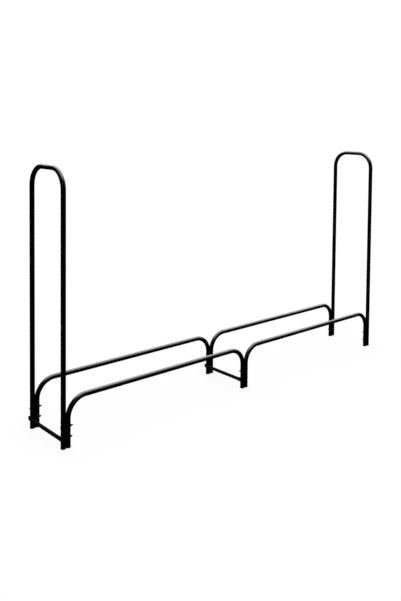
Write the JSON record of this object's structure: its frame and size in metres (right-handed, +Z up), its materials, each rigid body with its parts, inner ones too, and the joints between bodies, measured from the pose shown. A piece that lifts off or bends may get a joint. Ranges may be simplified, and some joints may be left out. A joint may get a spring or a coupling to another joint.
{
  "type": "firewood log rack",
  "caption": "Long outdoor firewood rack of bent round black steel tube: tall narrow hoops at the ends, low rails between them, bolted legs.",
  "frame": {"origin": "on the floor, midway along the rack and midway between its front and rear tubes", "axes": "+X along the rack towards the end without a crossbar, -Y towards the front, +Z up"},
  "size_m": [2.452, 0.332, 1.3447],
  "materials": {
    "black_coated_tube": "smooth semi-gloss black powder coat",
    "black_fastener_steel": "black-plated steel, slightly duller than the tube",
    "black_foot_plastic": "matt black moulded polyethylene"
  },
  "bodies": {
    "root": {"left_end_frame": "black_coated_tube", "right_end_frame": "black_coated_tube", "front_left_rail": "black_coated_tube", "rear_left_rail": "black_coated_tube", "front_right_rail": "black_coated_tube", "rear_right_rail": "black_coated_tube", "left_crossbar": "black_coated_tube", "middle_crossbar": "black_coated_tube", "left_bolts": "black_fastener_steel", "middle_bolts": "black_fastener_steel", "right_bolts": "black_fastener_steel", "left_washers": "black_fastener_steel", "middle_washers": "black_fastener_steel", "right_washers": "black_fastener_steel", "left_nuts": "black_fastener_steel", "middle_nuts": "black_fastener_steel", "right_nuts": "black_fastener_steel", "left_foot_caps": "black_foot_plastic", "middle_foot_caps": "black_foot_plastic", "right_foot_caps": "black_foot_plastic"}
  },
  "joints": []
}
